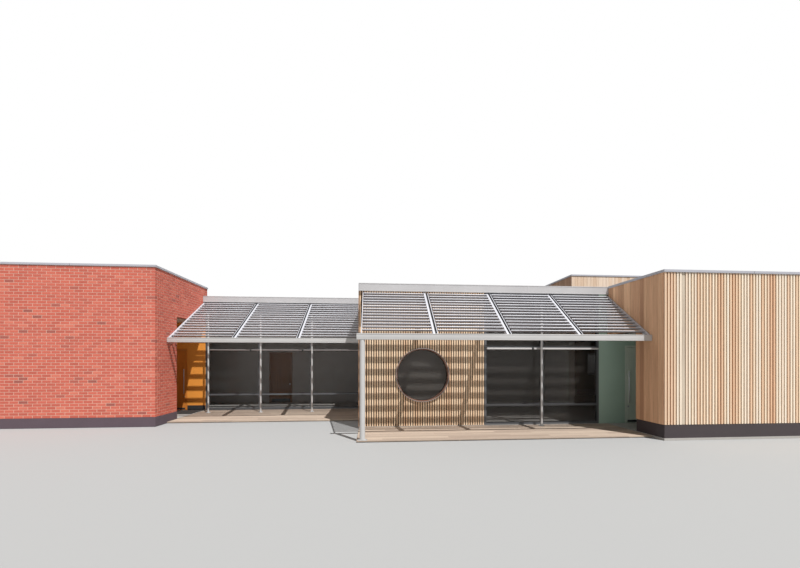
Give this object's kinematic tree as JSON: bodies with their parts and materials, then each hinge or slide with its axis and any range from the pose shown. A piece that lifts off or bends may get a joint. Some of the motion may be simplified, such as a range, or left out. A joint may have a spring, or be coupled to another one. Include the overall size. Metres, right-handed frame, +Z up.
{
  "type": "childcare centre",
  "caption": "Low flat-roofed childcare centre: brick block, glazed link and hall under sloping louvred canopies, timber block and a taller timber box behind.",
  "frame": {"origin": "on the ground at the middle of the plan", "axes": "+Z up, the front with the canopies faces -Y, +X to the right seen from the front"},
  "size_m": [25.34, 11.15, 5.03],
  "materials": {
    "brickwork": "matt brick",
    "timber_cladding": "oiled boards",
    "coping_metal": "satin",
    "louvre_metal": "satin",
    "frame_metal": "satin",
    "door_metal": "satin",
    "clear_glass": "polished",
    "orange_paint": "painted",
    "green_paint": "painted",
    "plaster": "painted",
    "roof_felt": "matt",
    "concrete": "floated",
    "deck_boards": "weathered",
    "door_wood": "stained"
  },
  "bodies": {
    "root": {"brick_front_wall": "brickwork", "brick_porch_pier": "brickwork", "brick_porch_lintel": "brickwork", "brick_rear_beam": "brickwork", "left_side_wall": "brickwork", "rear_wall": "brickwork", "slat_wall": "timber_cladding", "timber_front_wall": "timber_cladding", "timber_right_wall": "timber_cladding", "timber_porch_pier": "timber_cladding", "timber_porch_lintel": "timber_cladding", "box_front_wall": "timber_cladding", "box_left_wall": "timber_cladding", "box_right_wall": "timber_cladding", "box_rear_wall": "timber_cladding", "brick_coping": "coping_metal", "timber_coping": "coping_metal", "box_coping": "coping_metal", "link_fascia": "coping_metal", "main_fascia": "coping_metal", "link_canopy": "louvre_metal", "main_canopy": "louvre_metal", "link_glazing_frame": "frame_metal", "main_glazing_frame": "frame_metal", "link_canopy_rail": "frame_metal", "main_canopy_rail": "frame_metal", "canopy_column": "frame_metal", "link_post_frame": "frame_metal", "main_post_frame": "frame_metal", "link_eaves_beam": "frame_metal", "rear_window_frames": "frame_metal", "round_window_frame": "frame_metal", "left_door_frame": "door_metal", "right_door_frame": "door_metal", "link_glazing_glass": "clear_glass", "main_glazing_glass": "clear_glass", "rear_window_glass": "clear_glass", "round_window_glass": "clear_glass", "orange_entrance_wall": "orange_paint", "green_entrance_wall": "green_paint", "left_porch_front_wall": "plaster", "left_porch_side_wall": "plaster", "right_porch_front_wall": "plaster", "right_porch_side_wall": "plaster", "porch_ceilings": "plaster", "main_left_wall": "plaster", "corridor_wall_left": "plaster", "corridor_wall_right": "plaster", "corridor_wall_header": "plaster", "rear_roof": "roof_felt", "main_roof": "roof_felt", "parapet_roofs": "roof_felt", "floor_slab": "concrete", "decks": "deck_boards", "corridor_door_frame": "door_wood"},
    "left_door": {"left_door_leaf": "door_metal", "left_door_pane": "clear_glass"},
    "right_door": {"right_door_leaf": "door_metal", "right_door_pane": "clear_glass"},
    "corridor_door": {"corridor_door_leaf": "door_wood"}
  },
  "joints": [
    {"name": "left_entrance_door", "type": "hinge", "parent": "root", "child": "left_door", "pos_m": [-7.727, 0.646, 1.1], "axis": [0, 0, -1], "range_deg": [0, 90]},
    {"name": "right_entrance_door", "type": "hinge", "parent": "root", "child": "right_door", "pos_m": [7.607, -3.394, 1.1], "axis": [0, 0, 1], "range_deg": [0, 90]},
    {"name": "corridor_door", "type": "hinge", "parent": "root", "child": "corridor_door", "pos_m": [-4.497, 2.896, 1.1], "axis": [0, 0, -1], "range_deg": [0, 90]}
  ]
}
